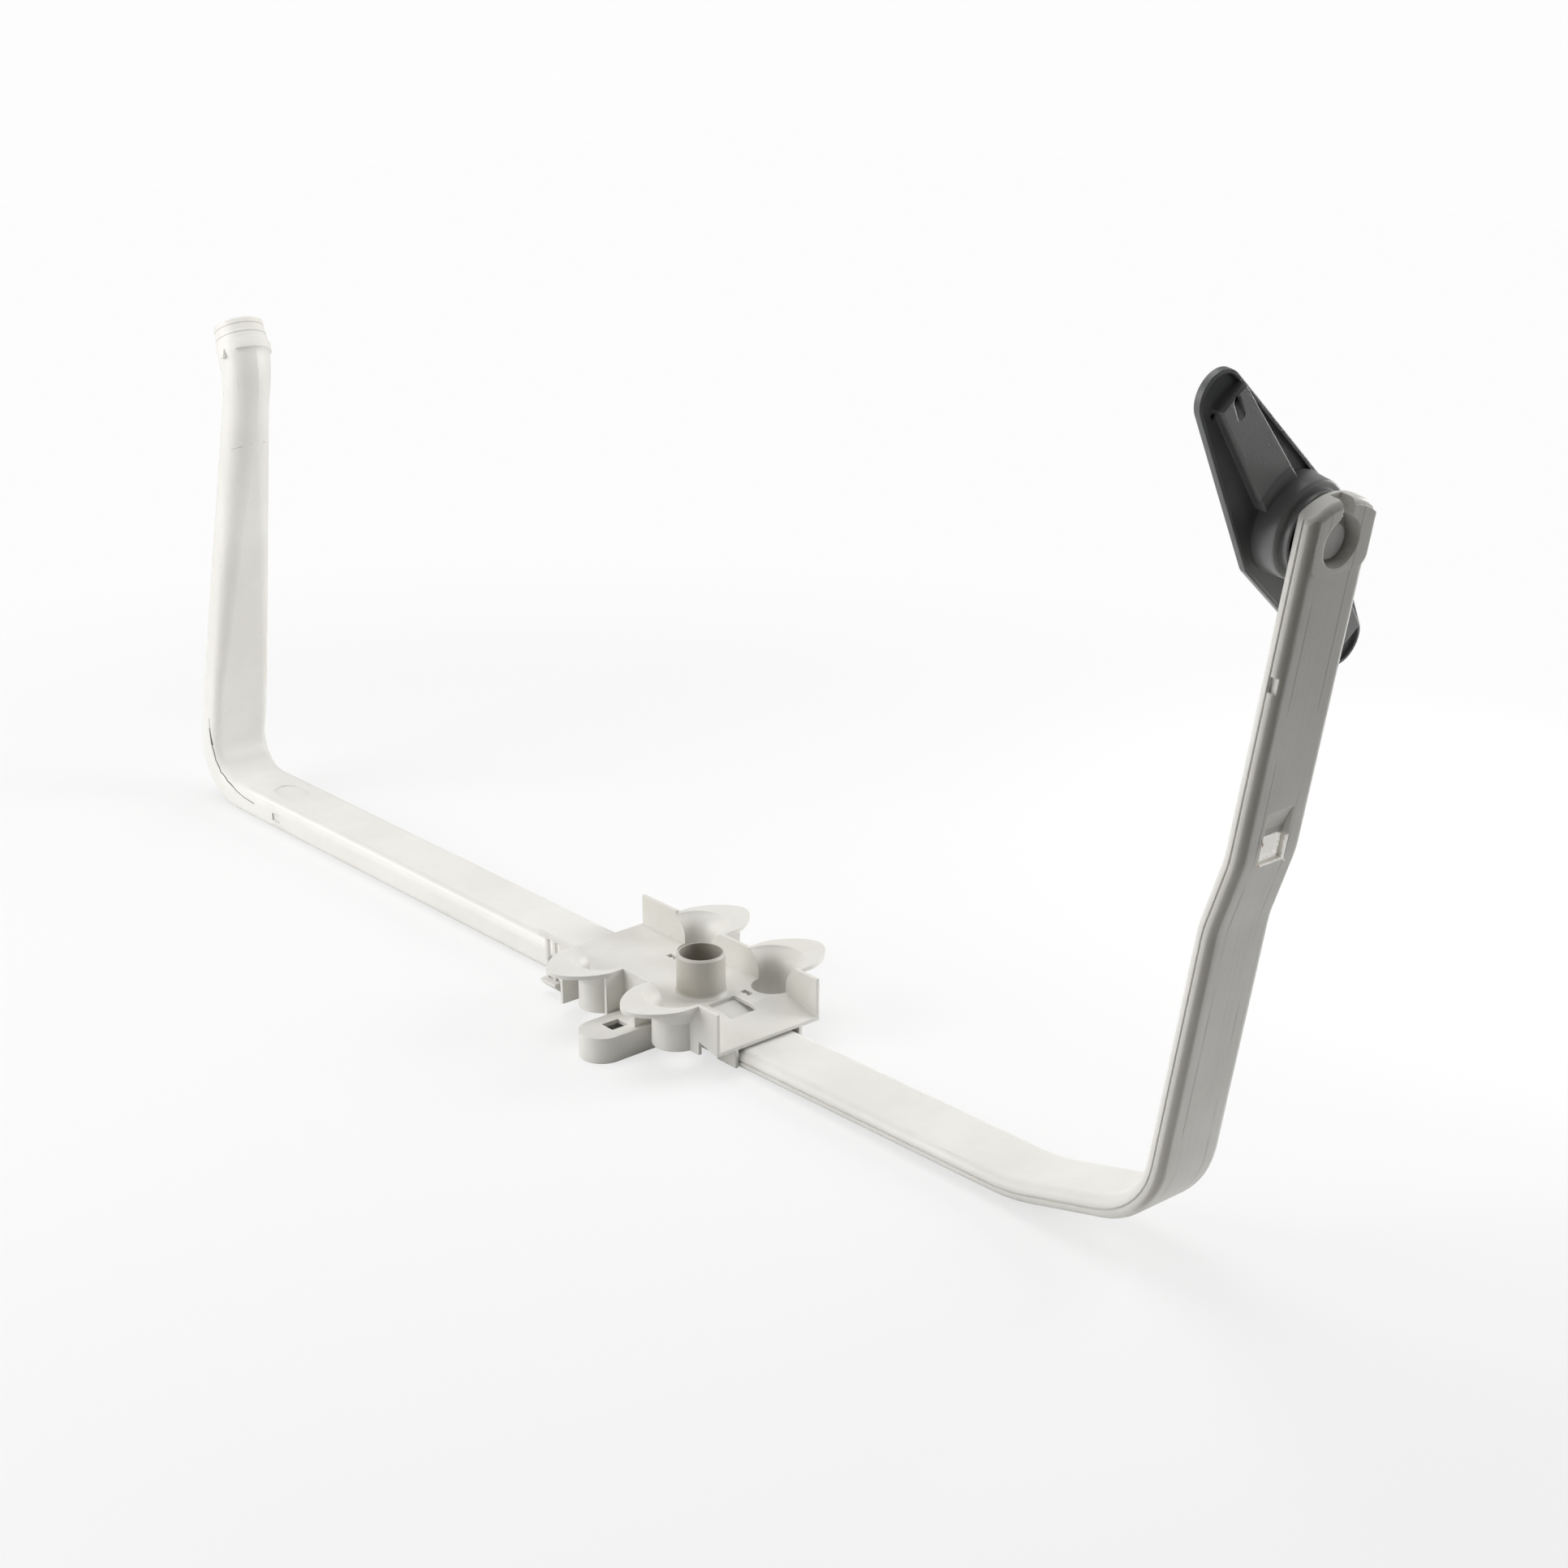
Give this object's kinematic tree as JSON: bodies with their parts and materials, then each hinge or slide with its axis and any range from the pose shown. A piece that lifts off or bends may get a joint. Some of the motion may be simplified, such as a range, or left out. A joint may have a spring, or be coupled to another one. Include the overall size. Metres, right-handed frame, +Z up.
{
  "type": "dishwasher feed tube",
  "caption": "Flat water feed tube bent up at both ends, with a round inlet neck, a docking bracket with a hollow spigot, and a freely spinning spray arm.",
  "frame": {"origin": "on the axis of the docking spigot, level with the tray floor", "axes": "+X along the tube's run towards the spray arm, +Y to the far side of the tray, +Z up the spigot"},
  "size_m": [0.6589, 0.1035, 0.3165],
  "materials": {
    "tube_plastic": "satin",
    "bracket_plastic": "satin",
    "spray_plastic": "satin",
    "axle_plastic": "satin"
  },
  "bodies": {
    "tube": {"feed_tube": "tube_plastic", "docking_bracket": "bracket_plastic", "hub_axle": "axle_plastic"},
    "spray_arm": {"spray_arm_top": "spray_plastic", "spray_arm_base": "spray_plastic"}
  },
  "joints": [
    {"name": "spray_spin", "type": "hinge", "parent": "tube", "child": "spray_arm", "pos_m": [0.29215, -0.0006, 0.24514], "axis": [0.9848, 0, -0.1736], "continuous": true}
  ]
}
